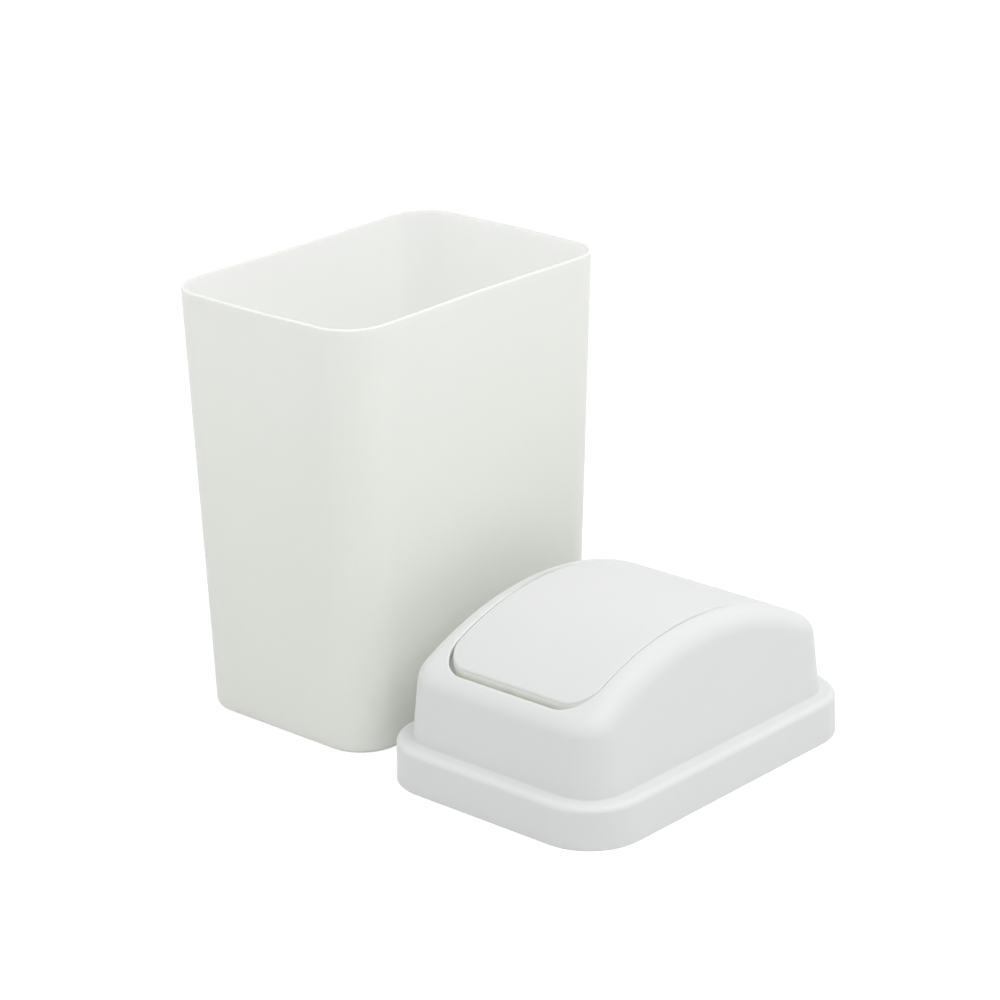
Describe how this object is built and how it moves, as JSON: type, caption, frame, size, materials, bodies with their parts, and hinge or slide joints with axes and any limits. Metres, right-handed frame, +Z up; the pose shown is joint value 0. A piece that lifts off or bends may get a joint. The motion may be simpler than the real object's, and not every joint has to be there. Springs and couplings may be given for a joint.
{
  "type": "countertop bin with swing lid",
  "caption": "Small tapered countertop bin with its arched swing-flap lid taken off and standing beside it.",
  "frame": {"origin": "centre of the bin's base, on the table that bin and lid stand on", "axes": "+Z up, +X across the bin towards the lid that stands beside it, +Y along the bin's long side"},
  "size_m": [0.2421, 0.1728, 0.19],
  "materials": {
    "bin_plastic": "satin moulded",
    "lid_plastic": "satin moulded",
    "flap_plastic": "fine grained matte"
  },
  "bodies": {
    "bin": {"bin": "bin_plastic"},
    "lid": {"lid_hood": "lid_plastic"},
    "flap": {"swing_flap": "flap_plastic"}
  },
  "joints": [
    {"name": "lid_lift", "type": "slide", "parent": "bin", "child": "lid", "axis": [0, 0, 1], "range_m": [0, 0.2]},
    {"name": "flap_swing", "type": "hinge", "parent": "lid", "child": "flap", "pos_m": [0.1255, 0.001, 0.0658], "axis": [1, 0, 0], "range_deg": [-80, 80]}
  ]
}
